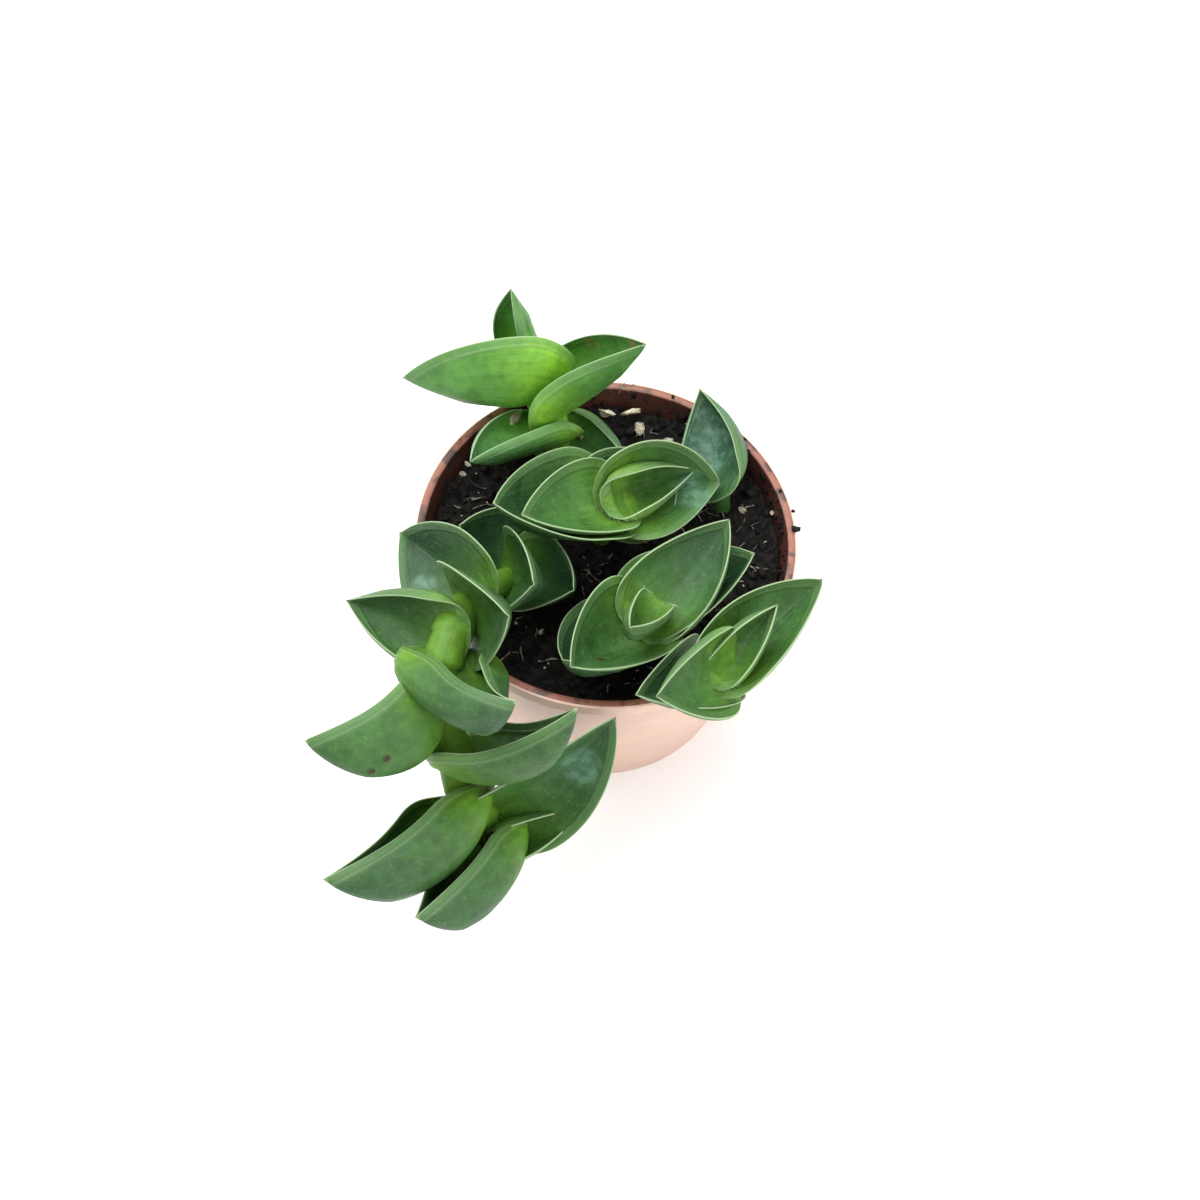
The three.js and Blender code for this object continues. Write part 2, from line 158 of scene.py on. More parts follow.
# Marks on single leaves: a point in millimetres and the radius of the mark
# The first list places patches of painted sheen: the bluish reflection on waxy leaves, painted into their
# colour
PAINTED_SHEEN_SPOTS = [((-27.2, -12.4, 41.6), 2.2), ((-1.0, -36.4, 32.8), 3.6), ((14.2, 19.4, 39.4), 7.5),
               ((12.8, 6.2, 45.3), 3.8)]
SCARS = [((-28.9, -44.5, 46.8), 0.75), ((-31.0, -46.0, 45.4), 0.7), ((0.7, -25.5, 47.2), 0.7)]
DRY_SPOTS = [((-4.7, 26.8, 53.7), 1.7), ((1.5, 22.0, 60.9), 1.2)]
# The colours of LeafSettings, as the leaves' shader group names them
LEAF_COLOURS = ("Base", "Blade", "Old", "Bloom", "Margin", "Line", "Scar", "Dry")

# How far a leaf's base reaches back from its place on the stem, at most, and the drawn-out tip
HEEL = 3.5
TIP = 0.5
# How steeply a leaf's width and its hollow rise from the base, and the hollow falls to the tip
WIDTH_RISE = 0.42
HOLLOW_RISE = 0.6
HOLLOW_FALL = 0.75
# How far a leaf's rounded margin stands out from its faces
RIDGE = 0.03
# How far the shoots stay inside the box of the CAD model
INSET = 0.02

# How long a leaf's sheath is, the place on the stem below which no sheath begins, and over which
# length it closes above the leaf
SHEATH = 11
SHEATH_START = 10
SHEATH_CLOSE = 0.8
# How far apart a stem's rings are, how far it stops short of its last leaf's place, and over which
# length its end is rounded
STEM_STEP = 0.5
STEM_STOP = 0.7
STEM_ROUND = 1.2
# The rows of the youngest leaf that bear hairs, and the radii along a hair
HAIR_ROWS = range(1, 9)
HAIR_RADII = (0.035, 0.028, 0.004)

# How many sides the pot has, and how far its edges are softened
POT_SIDES = 128
SOFT = 0.4
# Between these heights the painted shade of the inside wall gives way to the rim's colour
RIM_FADE = (39.0, 39.42)
# The drain holes: their number, the radius of one and the radius of the ring they lie on
DRAIN_HOLES = 6
DRAIN_RADIUS = 2.4
DRAIN_RING = 14

# The sides and rings of the soil's surface, and how far it stops short of the wall
SOIL_SIDES = 192
SOIL_RINGS = 56
SOIL_SLACK = 0.1
# How far from the middle the soil begins to rise towards the wall, and over which width
BANK_START = 19
BANK_WIDTH = 8
# How high the soil's finest unevenness stands
ROUGHNESS = 0.42
# How far from the middle a fibre may wander, its number of steps and the sides of its tube
FIBRE_REACH = 24
FIBRE_STEPS = 5
FIBRE_SIDES = 5
# Root hairs over the back rim: x at the foot and at the tip, and the radii along a hair
ROOT_HAIRS = [(1.6, 4.6), (0.2, 1.9)]
ROOT_RADII = (0.09, 0.08, 0.03)

# Perlite and pale bits on the soil: x, y and size
PERLITE = [(4.0, 23.6, 1.9), (-1.6, 26.0, 1.6), (8.6, 21.4, 1.6), (21.3, 9.6, 1.0), (25.2, 3.8, 0.8),
           (24.0, -6.0, 0.7), (-23.0, 13.6, 1.0), (-23.8, 11.9, 0.9), (8.2, -24.6, 0.6),
           (-9.0, -15.0, 0.8), (26.0, 9.0, 0.7), (14.5, 20.0, 0.8), (-2.0, -21.5, 0.7)]

# Crumbs that lie on the rim: a point and the size
RIM_CRUMBS = [((29.6, 4.2, 39.8), 1.2), ((29.1, 7.6, 39.6), 0.6), ((26.9, 11.2, 39.6), 0.5),
              ((20.8, 20.6, 39.6), 0.5), ((16.5, 24.1, 39.6), 0.7), ((9.0, 27.7, 39.6), 0.6),
              ((24.6, -16.3, 39.6), 0.5)]

# Withered scraps on the soil at the back: a point, the sizes and the turns
WITHERED = [
    ((-16.6, 20.4, 40.3), (3.6, 1.7, 1.5), (0.9, 0.4)),
    ((-5.9, 19.9, 38.5), (2.2, 1.1, 1.0), (2.2, -0.5)),
    ((-4.4, 21.8, 36.6), (6.6, 2.6, 2.2), (2.45, 0.2)),
    ((2.4, 26.0, 36.9), (3.2, 0.8, 0.7), (0.4, 0.1)),
    ((-1.5, 25.4, 37.0), (2.4, 0.6, 0.6), (2.9, 0.3)),
    ((11.9, 23.8, 36.7), (2.2, 0.6, 0.5), (1.9, 0.2)),
]

# The lamps, in metres and watts: name, place, width, power and colour. All point at the target.
LAMPS = [
    ("window", (-0.32, 0.30, 0.95), 1.2, 20.0, (0.96, 0.98, 1.0)),
    ("fill", (0.55, -0.45, 0.60), 0.9, 6.0, (1.0, 1.0, 1.0)),
]
LAMP_TARGET = (0, 0, 0.03)
# The strength of the even light from all round
SKY = 0.64
# How far the camera is moved to its left and down from looking straight at the rim's middle
CAMERA_SHIFT = (1.0, 9.7)


def colour_prop(name, description, rgb):
    return bpy.props.FloatVectorProperty(
        name=name, description=description, subtype="COLOR", size=3, min=0, max=1, default=rgb)


def length_prop(name, description, size):
    return bpy.props.FloatProperty(
        name=name, description=description, unit="LENGTH", min=0, default=size * MM)


def count_prop(name, description, number):
    return bpy.props.IntProperty(name=name, description=description, min=0, default=number)


class PotSettings(bpy.types.PropertyGroup):
    rim: length_prop("Rim radius", "Radius of the pot across its rim", 30)
    foot: length_prop("Foot radius", "Radius of the pot at its foot", 22)
    height: length_prop("Height", "Height of the pot", 39.5)
    wall: length_prop("Wall", "Thickness of the pot's wall and floor", 1.6)
    band: length_prop("Rim band", "Height of the band under the rim", 2.2)
    body: colour_prop("Body", "Colour of the pot's outside", (0.70, 0.47, 0.37))
    rim_top: colour_prop("Rim", "Colour of the rim's top", (0.27, 0.10, 0.06))
    # The inside wall's colour is painted shade: the same plastic, darkened inside the hollow pot
    inside: colour_prop("Inside", "Colour of the inside wall", (0.075, 0.022, 0.016))


class SoilSettings(bpy.types.PropertyGroup):
    level: length_prop("Level", "Height of the soil above the pot's underside", 34.7)
    lumps: length_prop("Lumps", "How far the soil's lumps rise and fall", 0.45)
    bank: length_prop("Bank", "How far the soil rises towards the wall", 1.3)
    crumbs: count_prop("Crumbs", "Number of loose crumbs on the soil", 900)
    fibres: count_prop("Fibres", "Number of fine fibres on the soil", 150)
    grains: count_prop("Small grains", "Number of the smallest perlite grains", 60)
    colour: colour_prop("Soil", "Colour of the damp potting mix", (0.006, 0.0052, 0.0046))
    grain: colour_prop("Perlite", "Colour of the perlite grains", (0.62, 0.56, 0.42))


class LeafSettings(bpy.types.PropertyGroup):
    stem: length_prop("Stem radius", "Radius of a bare stem", 1.5)
    edge: length_prop("Edge", "Thickness of a leaf at its margins", 0.2)
    base: colour_prop("Leaf base", "Colour of a leaf where it clasps the stem", (0.13, 0.29, 0.018))
    blade: colour_prop("Blade", "Colour of the middle of a leaf", (0.042, 0.125, 0.020))
    old: colour_prop("Old blade", "Colour of an old leaf", (0.020, 0.066, 0.025))
    # Painted sheen: the bluish reflection on older, waxy leaves, painted into their colour
    bloom: colour_prop("Bloom", "Colour of the bluish bloom on older leaves", (0.17, 0.33, 0.25))
    margin: colour_prop("Margin band", "Colour of the pale band along a leaf's margin", (0.12, 0.22, 0.085))
    line: colour_prop("Margin line", "Colour of the thin line on a leaf's margin", (0.31, 0.41, 0.23))
    scar: colour_prop("Scar", "Colour of the small scars", (0.035, 0.025, 0.012))
    dry: colour_prop("Dry spot", "Colour of the dry, brownish spots", (0.30, 0.20, 0.09))


class StageSettings(bpy.types.PropertyGroup):
    floor: colour_prop("Floor", "Colour of the floor", (0.95, 0.955, 0.96))
    elevation: bpy.props.FloatProperty(
        name="Elevation", description="How far above the level the camera looks from",
        subtype="ANGLE", default=math.radians(60))
    lean: bpy.props.FloatProperty(
        name="Lean", description="How far the camera is turned about its own axis",
        subtype="ANGLE", default=math.radians(4.5))
    distance: length_prop("Distance", "From the camera to the middle of the pot's rim", 350)
    lens: bpy.props.FloatProperty(
        name="Lens", description="Focal length of the camera", unit="CAMERA", default=67.3)


# Meshes


def deselect():
    for other in bpy.context.selected_objects:
        other.select_set(False)


def active(obj):
    deselect()
    obj.select_set(True)
    bpy.context.view_layer.objects.active = obj


def mesh_object(name, verts, faces, values=None):
    """An object at the origin from points in millimetres, with one float attribute per name in values."""
    mesh = bpy.data.meshes.new(name)
    mesh.from_pydata([tuple(p) for p in np.asarray(verts) * MM], [], faces)
    for key, numbers in (values or {}).items():
        mesh.attributes.new(key, "FLOAT", "POINT").data.foreach_set("value", np.asarray(numbers, "f"))
    mesh.polygons.foreach_set("use_smooth", [True] * len(mesh.polygons))
    mesh.update()
    obj = bpy.data.objects.new(name, mesh)
    bpy.context.collection.objects.link(obj)
    return obj


def settle(obj, name, material):
    """Names a finished piece, gives it its material and makes it ride with the part."""
    obj.name = name
    obj.data.materials.clear()
    obj.data.materials.append(material)
    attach(obj, BODY)


def outward(obj):
    """Merges doubled points and turns every face outwards."""
    shape = bmesh.new()
    shape.from_mesh(obj.data)
    bmesh.ops.remove_doubles(shape, verts=shape.verts, dist=1e-7)
    bmesh.ops.recalc_face_normals(shape, faces=shape.faces)
    shape.to_mesh(obj.data)
    shape.free()


def around(radius, turn):
    """The x and y of a point on a circle about the middle."""
    return radius * math.cos(turn), radius * math.sin(turn)


def unit(rows):
    return rows / np.maximum(np.linalg.norm(rows, axis=-1, keepdims=True), 1e-9)


class Shape:
    """Points, faces and attributes of one mesh, gathered grid by grid."""

    def __init__(self):
        self.points, self.faces = [], []
        self.values = {key: [] for key in ("along", "across", "rim", "inside", "age")}

    def grid(self, points, **values):
        """Adds a grid of points and returns the number of each."""
        rows, strips = points.shape[:2]
        first = len(self.points)
        self.points += [tuple(p) for p in points.reshape(-1, 3)]
        for key, numbers in self.values.items():
            numbers += list(np.broadcast_to(values.get(key, 0.0), (rows, strips)).reshape(-1))
        return first + np.arange(rows * strips).reshape(rows, strips)

    def skin(self, index):
        """Faces between the lines of a grid of point numbers."""
        for a, b in zip(index, index[1:]):
            self.faces += [(int(a[j]), int(a[j + 1]), int(b[j + 1]), int(b[j])) for j in range(len(a) - 1)]


def add_tube(shape, centres, radii, sides, **values):
    """A tube round a line of points."""
    tangents = unit(np.gradient(centres, axis=0))
    across = unit(np.cross(tangents[0], (0.3, 0.2, 1.0)))
    turn = 2 * math.pi * np.arange(sides + 1) / sides
    rings = []
    for centre, tangent, size in zip(centres, tangents, radii):
        across = unit(across - tangent * np.dot(across, tangent))
        other = np.cross(tangent, across)
        rings.append(centre + size * (np.cos(turn)[:, None] * across + np.sin(turn)[:, None] * other))
    shape.skin(shape.grid(np.array(rings), **values))


# Materials


def new_material(name):
    material = bpy.data.materials.new(name)
    material.use_nodes = True
    tree = material.node_tree
    return material, tree, tree.nodes["Principled BSDF"]


def add(tree, kind, **settings):
    node = tree.nodes.new(kind)
    for key, value in settings.items():
        setattr(node, key, value)
    return node


def attribute(tree, name):
    return add(tree, "ShaderNodeAttribute", attribute_name=name).outputs["Fac"]


def scaled(colour, share):
    return tuple(share * c for c in colour)


def sum_up(tree, operation, total, *values):
    """The result of one math node after another, each on the total so far and the next value."""
    for value in values:
        node = add(tree, "ShaderNodeMath", operation=operation)
        for socket, term in zip(node.inputs, (total, value)):
            if isinstance(term, (int, float)):
                socket.default_value = term
            else:
                tree.links.new(term, socket)
        total = node.outputs[0]
    return total


def ease(tree, value, low, high, start=0.0, end=1.0):
    """A smooth step from start to end as value goes from low to high."""
    node = add(tree, "ShaderNodeMapRange", interpolation_type="SMOOTHSTEP")
    tree.links.new(value, node.inputs["Value"])
    node.inputs["From Min"].default_value = low
    node.inputs["From Max"].default_value = high
    node.inputs["To Min"].default_value = start
    node.inputs["To Max"].default_value = end
    return node.outputs[0]


def blend(tree, factor, first, second, mode="MIX"):
    node = add(tree, "ShaderNodeMix", data_type="RGBA", blend_type=mode)
    for socket, value in ((node.inputs[0], factor), (node.inputs[6], first), (node.inputs[7], second)):
        if isinstance(value, bpy.types.NodeSocket):
            tree.links.new(value, socket)
        elif socket.type == "RGBA":
            socket.default_value = (*value, 1)
        else:
            socket.default_value = value
    return node.outputs[2]


def speckle(tree, scale, detail, vector=None):
    """Noise on the object's own coordinates, about scale lumps to a metre."""
    if vector is None:
        vector = add(tree, "ShaderNodeTexCoord").outputs["Object"]
    node = add(tree, "ShaderNodeTexNoise")
    node.inputs["Scale"].default_value = scale
    node.inputs["Detail"].default_value = detail
    tree.links.new(vector, node.inputs["Vector"])
    return node.outputs["Fac"]


def relief(tree, shader, height, distance):
    node = add(tree, "ShaderNodeBump")
    node.inputs["Distance"].default_value = distance
    tree.links.new(height, node.inputs["Height"])
    tree.links.new(node.outputs[0], shader.inputs["Normal"])


def new_group(name, inputs, outputs):
    group = bpy.data.node_groups.new(name, "ShaderNodeTree")
    for label, kind in inputs:
        group.interface.new_socket(label, in_out="INPUT", socket_type=kind)
    for label, kind in outputs:
        group.interface.new_socket(label, in_out="OUTPUT", socket_type=kind)
    return group, add(group, "NodeGroupInput").outputs, add(group, "NodeGroupOutput").inputs


def shared(make):
    """The node group named after the function that makes it, made the first time it is asked for."""
    return bpy.data.node_groups.get(make.__name__) or make()


def use_group(tree, make, **given):
    """A shared group in a material, with numbers and colours for its inputs."""
    node = add(tree, "ShaderNodeGroup", node_tree=shared(make))
    for key, value in given.items():
        node.inputs[key].default_value = value if isinstance(value, float) else (*value, 1)
    return node.outputs


def near(tree, places, vector):
    """1 in the middle of each mark, easing to 0 just past its edge."""
    total = 0.0
    for point, radius in places:
        node = add(tree, "ShaderNodeVectorMath", operation="DISTANCE")
        tree.links.new(vector, node.inputs[0])
        node.inputs[1].default_value = scaled(point, MM)
        mask = ease(tree, node.outputs["Value"], 0.5 * radius * MM, 1.15 * radius * MM, 1.0, 0.0)
        total = sum_up(tree, "MAXIMUM", total, mask)
    return total


def times(tree, *factors):
    return sum_up(tree, "MULTIPLY", *factors)


def off_middle(tree, value, share):
    """A noise value moved to lie about 0 and scaled."""
    return times(tree, sum_up(tree, "SUBTRACT", value, 0.5), share)


def leaf_tones():
    """The colours of a leaf from its base to its tip and across its margins, with its marks."""
    colour, number = "NodeSocketColor", "NodeSocketFloat"
    group, given, out = new_group(
        "leaf_tones", [(label, colour) for label in LEAF_COLOURS],
        [("Color", colour), ("Roughness", number), ("Height", number)])
    along, rim = attribute(group, "along"), attribute(group, "rim")
    inside, age = attribute(group, "inside"), attribute(group, "age")
    streak_at = add(group, "ShaderNodeCombineXYZ")
    group.links.new(times(group, attribute(group, "across"), 9.0), streak_at.inputs[0])
    group.links.new(times(group, along, 1.6), streak_at.inputs[1])
    group.links.new(times(group, age, 40.0), streak_at.inputs[2])
    streaks = speckle(group, 1.6, 2.0, streak_at.outputs[0])
    cloud = speckle(group, 230.0, 4.0)
    mottle = speckle(group, 700.0, 3.0)
    fine = speckle(group, 1700.0, 2.0)

    reach = sum_up(group, "ADD", along, off_middle(group, cloud, 0.45), times(group, age, 0.22))
    # Inside its cup a leaf is painted less yellow and darker near the base: painted shade in the hollow of
    # the cup.
    shaded_heart = blend(group, ease(group, inside, 0.4, 0.9, 0.0, 0.6), given["Base"], given["Blade"])
    tone = blend(group, ease(group, reach, 0.16, 0.66), shaded_heart, given["Blade"])
    older = times(group, ease(group, reach, 0.35, 1.0), ease(group, age, 0.0, 1.0, 0.35, 1.0))
    tone = blend(group, older, tone, given["Old"])

    # The keel side is a little paler than the face.
    keel = times(group, ease(group, inside, 0.2, 0.8, 0.1, 0.0), ease(group, along, 0.1, 0.5))
    tone = blend(group, keel, tone, given["Margin"])
    shade = sum_up(group, "ADD", off_middle(group, cloud, 1.5), off_middle(group, mottle, 0.9),
                   off_middle(group, streaks, 0.5))
    lighter = ease(group, shade, -0.6, 0.6)
    shading = blend(group, lighter, (0.60, 0.62, 0.66), (1.45, 1.36, 1.25))
    tone = blend(group, 1.0, tone, shading, "MULTIPLY")
    flecks = ease(group, fine, 0.60, 0.72, 0.0, 0.35)
    tone = blend(group, flecks, tone, given["Margin"])

    # A soft pale band follows the margins, a faint ledge bounds it and a thin line ends it.
    uneven = sum_up(group, "ADD", rim, off_middle(group, mottle, 0.7))
    band = times(group, ease(group, uneven, 0.2, 2.4, 1.0, 0.0), ease(group, inside, 0.3, 0.9, 0.55, 0.5))
    tone = blend(group, band, tone, given["Margin"])
    ledge = times(group, ease(group, rim, 1.1, 1.3), ease(group, rim, 1.35, 1.9, 1.0, 0.0))
    tone = blend(group, times(group, ledge, ease(group, inside, 0.2, 0.8, 0.15, 0.0)), tone, given["Line"])
    line = times(group, ease(group, rim, 0.03, 0.12, 0.85, 0.0), ease(group, along, 0.02, 0.2, 0.5, 1.0))
    line = sum_up(group, "MAXIMUM", line, ease(group, along, 0.985, 0.998, 0.0, 0.9))
    tone = blend(group, line, tone, given["Line"])

    # Patches of painted sheen (the bluish reflection on waxy leaves), small dark scars and dry spots
    place = add(group, "ShaderNodeTexCoord").outputs["Object"]
    sheen_patches = times(group, near(group, PAINTED_SHEEN_SPOTS, place), ease(group, mottle, 0.38, 0.66, 0.35, 1.0))
    tone = blend(group, times(group, sheen_patches, 0.5), tone, given["Bloom"])
    scar = times(group, near(group, SCARS, place), ease(group, fine, 0.35, 0.5, 0.55, 1.0))
    tone = blend(group, scar, tone, given["Scar"])
    dry = times(group, near(group, DRY_SPOTS, place), ease(group, mottle, 0.4, 0.6, 0.1, 0.75))
    tone = blend(group, dry, tone, given["Dry"])
    group.links.new(tone, out["Color"])

    gloss = sum_up(group, "SUBTRACT", ease(group, cloud, 0.3, 0.7, 0.36, 0.56), times(group, sheen_patches, 0.2))
    group.links.new(sum_up(group, "ADD", gloss, times(group, line, 0.15)), out["Roughness"])
    shares = ((cloud, 0.7), (fine, 0.16), (mottle, 0.3), (streaks, 0.4), (scar, -0.5), (ledge, 0.35))
    lumps = sum_up(group, "ADD", *(times(group, value, share) for value, share in shares))
    group.links.new(lumps, out["Height"])
    return group


def leaf_material(name, **colours):
    material, tree, shader = new_material(name)
    parts = use_group(tree, leaf_tones, **colours)
    tree.links.new(parts["Color"], shader.inputs["Base Color"])
    tree.links.new(parts["Roughness"], shader.inputs["Roughness"])
    relief(tree, shader, parts["Height"], 0.25 * MM)
    shader.inputs["Subsurface Weight"].default_value = 0.1
    shader.inputs["Subsurface Radius"].default_value = (0.6, 1.0, 0.25)
    shader.inputs["Subsurface Scale"].default_value = 1.0 * MM
    shader.inputs["Specular IOR Level"].default_value = 0.22
    return material


def broken_tones():
    """Two colours broken up by noise, and the height of the grain, for soil and plastic alike."""
    colour, number = "NodeSocketColor", "NodeSocketFloat"
    group, given, out = new_group(
        "broken_tones", [("Light", colour), ("Dark", colour), ("Scale", number)],
        [("Color", colour), ("Cloud", number), ("Height", number)])
    cloud, grain = speckle(group, 1.0, 5.0), speckle(group, 1.0, 6.0)
    for noise_value, share in ((cloud, 1.0), (grain, 2.2)):
        group.links.new(times(group, given["Scale"], share), noise_value.node.inputs["Scale"])
    tone = blend(group, ease(group, cloud, 0.35, 0.68), given["Dark"], given["Light"])
    group.links.new(tone, out["Color"])
    group.links.new(cloud, out["Cloud"])
    group.links.new(grain, out["Height"])
    return group


def grime():
    """Smears of dirt up to the given amount, and the fine grain of moulded plastic."""
    number = "NodeSocketFloat"
    group, given, out = new_group("grime", [("Amount", number)], [("Mask", number), ("Height", number)])
    smear = ease(group, speckle(group, 330.0, 6.0), 0.47, 0.62)
    group.links.new(given["Amount"], smear.node.inputs["To Max"])
    group.links.new(smear, out["Mask"])
    group.links.new(speckle(group, 1400.0, 3.0), out["Height"])
    return group


def pot_material(name, colour, dirt, below=None):
    """Moulded plastic with smears of dirt. Below the rim the inside takes the darker colour, painted shade
    of the pot's hollow.
    """
    material, tree, shader = new_material(name)
    plain = use_group(tree, broken_tones, Light=colour, Dark=scaled(colour, 0.93), Scale=90.0)
    dirty = use_group(tree, grime, Amount=dirt)
    tone = plain["Color"]
    if below:
        place = add(tree, "ShaderNodeSeparateXYZ")
        tree.links.new(add(tree, "ShaderNodeTexCoord").outputs["Object"], place.inputs[0])
        fade = ease(tree, place.outputs["Z"], RIM_FADE[0] * MM, RIM_FADE[1] * MM)
        tone = blend(tree, fade, below, tone)
    tone = blend(tree, dirty["Mask"], tone, (0.03, 0.02, 0.016))
    tree.links.new(tone, shader.inputs["Base Color"])
    tree.links.new(ease(tree, plain["Cloud"], 0.3, 0.7, 0.38, 0.55), shader.inputs["Roughness"])
    relief(tree, shader, dirty["Height"], 0.05 * MM)
    return material


def grain_material(name, light, dark, scale):
    """Soil, fibres, perlite and withered bits: a rough, broken colour."""
    material, tree, shader = new_material(name)
    parts = use_group(tree, broken_tones, Light=light, Dark=dark, Scale=scale)
    tree.links.new(parts["Color"], shader.inputs["Base Color"])
    shader.inputs["Roughness"].default_value = 0.9
    shader.inputs["Specular IOR Level"].default_value = 0.15
    relief(tree, shader, parts["Height"], 0.3 * MM)
    return material


# Pot


def extrude_ring(radius, height, to_radius, to_height):
    """Draws the selected ring on to another radius and height."""
    bpy.ops.mesh.extrude_region_move(
        TRANSFORM_OT_translate={"value": (0, 0, to_height - height)})
    if radius != to_radius:
        size = to_radius / radius
        bpy.ops.transform.resize(value=(size, size, 1))


def drill_drains(obj, wall):
    """Cuts the drain holes through the pot's floor."""
    for i in range(DRAIN_HOLES):
        x, y = around(DRAIN_RING * MM, 2 * math.pi * (i + 0.5) / DRAIN_HOLES)
        bpy.ops.mesh.primitive_cylinder_add(
            vertices=32, radius=DRAIN_RADIUS * MM, depth=4 * wall, location=(x, y, wall / 2))
        drill = bpy.context.object
        active(obj)
        cut = obj.modifiers.new("drain", "BOOLEAN")
        cut.operation, cut.solver, cut.object = "DIFFERENCE", "EXACT", drill
        bpy.ops.object.modifier_apply(modifier="drain")
        bpy.data.objects.remove(drill)


def pot_mesh(pot):
    """A disc drawn up the outside, over the rim and down the inside, with its holes drilled."""
    foot, rim, wall, top = pot.foot, pot.rim, pot.wall, pot.height
    band, soft = top - pot.band, SOFT * MM
    step, slack, bevel = 0.5 * MM, 0.1 * MM, 0.15 * MM
    profile = [
        (foot, soft), (rim - step, band - step), (rim - slack, band), (rim - slack, top - soft),
        (rim - 0.12 * MM, top - bevel), (rim - soft, top), (rim - wall + soft, top),
        (rim - wall + slack, top - bevel), (rim - wall, top - soft), (foot - wall + 0.2 * MM, wall),
    ]
    deselect()
    bpy.ops.mesh.primitive_circle_add(vertices=POT_SIDES, radius=foot - soft, fill_type="NGON")
    obj = bpy.context.object
    bpy.ops.object.mode_set(mode="EDIT")
    bpy.ops.mesh.select_all(action="SELECT")
    ring = (foot - soft, 0.0)
    for radius, height in profile:
        extrude_ring(*ring, radius, height)
        ring = (radius, height)
    bpy.ops.object.mode_set(mode="OBJECT")
    outward(obj)
    drill_drains(obj, wall)
    active(obj)
    bpy.ops.object.shade_smooth_by_angle(angle=math.radians(35))
    return obj


class PLANT_OT_pot(bpy.types.Operator):
    """Make the round tapered pot with its rim band and drain holes"""
    bl_idname = "plant.pot"
    bl_label = "Pot"

    def execute(self, context):
        pot = context.scene.pot_settings
        obj = pot_mesh(pot)
        settle(obj, "plant_pot", pot_material("pot_body", tuple(pot.body), dirt=0.05))
        # Below the rim the inside wall is painted darker, as painted shade
        inside = pot_material("pot_inside", tuple(pot.rim_top), dirt=0.85, below=tuple(pot.inside))
        obj.data.materials.append(inside)
        # The top of the rim and the inside take the second material.
        for face in obj.data.polygons:
            across, height = math.hypot(face.center.x, face.center.y), face.center.z
            outside = pot.foot + (pot.rim - pot.foot) * height / pot.height
            inner = across < outside - 0.3 * pot.wall and height > pot.wall / 2
            face.material_index = int(inner or height > pot.height - 0.05 * MM)
        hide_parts("pot")
        return {"FINISHED"}


# Soil


def inner_radius(pot, height):
    foot, rim = pot.foot - pot.wall, pot.rim - pot.wall
    return foot + (rim - foot) * (height - pot.wall) / (pot.height - pot.wall)


def soil_height(soil, x, y):
    x, y = x / MM, y / MM
    lumps = math.sin(0.55 * x + 1.3) * math.cos(0.48 * y) + 0.6 * math.sin(1.1 * x - 0.9 * y)
    rough = noise.fractal(Vector((x, y, 3.0)) * 0.8, 1.0, 2.1, 5)
    bank = soil.bank * min(max((math.hypot(x, y) - BANK_START) / BANK_WIDTH, 0), 1) ** 2
    return soil.level + bank + soil.lumps * lumps / 1.6 + ROUGHNESS * MM * rough


def soil_mesh(pot, soil, reach):
    """A ring drawn in to its middle, raised into lumps, and closed by a wall and a floor."""
    deselect()
    bpy.ops.mesh.primitive_circle_add(vertices=SOIL_SIDES, radius=reach, fill_type="NOTHING")
    obj = bpy.context.object
    bpy.ops.object.mode_set(mode="EDIT")
    for k in range(SOIL_RINGS - 1, 0, -1):
        bpy.ops.mesh.extrude_region_move()
        size = k / (k + 1)
        bpy.ops.transform.resize(value=(size, size, 1))
    bpy.ops.mesh.extrude_region_move()
    bpy.ops.mesh.merge(type="CENTER")
    bpy.ops.object.mode_set(mode="OBJECT")
    outward(obj)
    for v in obj.data.vertices:
        v.co.z = soil_height(soil, v.co.x, v.co.y)
    active(obj)
    bpy.ops.object.mode_set(mode="EDIT")
    bpy.ops.mesh.select_mode(type="EDGE")
    bpy.ops.mesh.select_all(action="DESELECT")
    bpy.ops.mesh.select_non_manifold()
    extrude_ring(reach, soil.level, inner_radius(pot, pot.wall) - 0.4 * MM, pot.wall + 0.5 * MM)
    bpy.ops.mesh.edge_face_add()
    bpy.ops.object.mode_set(mode="OBJECT")
    outward(obj)
    active(obj)
    bpy.ops.object.shade_smooth_by_angle(angle=math.radians(60))
    return obj


def lump(seed, detail):
    """The points and faces of one rough lump, about one across."""
    bpy.ops.mesh.primitive_ico_sphere_add(subdivisions=detail, radius=0.5)
    obj = bpy.context.object
    points = []
    for v in obj.data.vertices:
        swell = 1 + 0.75 * noise.noise(v.co * 3.1 + Vector((seed * 7.3, seed, -seed)))
        points.append(tuple(v.co * swell))
    faces = [tuple(face.vertices) for face in obj.data.polygons]
    bpy.data.objects.remove(obj)
    return points, faces


def scatter(name, shapes, places):
    """Copies of the lumps as one mesh. A place is a point, three sizes and two turns."""
    verts, faces = [], []
    for n, (point, sizes, turn) in enumerate(places):
        points, sides = shapes[n % len(shapes)]
        spin = Matrix.Rotation(turn[0], 3, "Z") @ Matrix.Rotation(turn[1], 3, "X")
        first = len(verts)
        for p in points:
            moved = spin @ Vector((p[0] * sizes[0], p[1] * sizes[1], p[2] * sizes[2]))
            verts.append(tuple(moved + Vector(point)))
        faces += [tuple(first + k for k in side) for side in sides]
    return mesh_object(name, verts, faces)


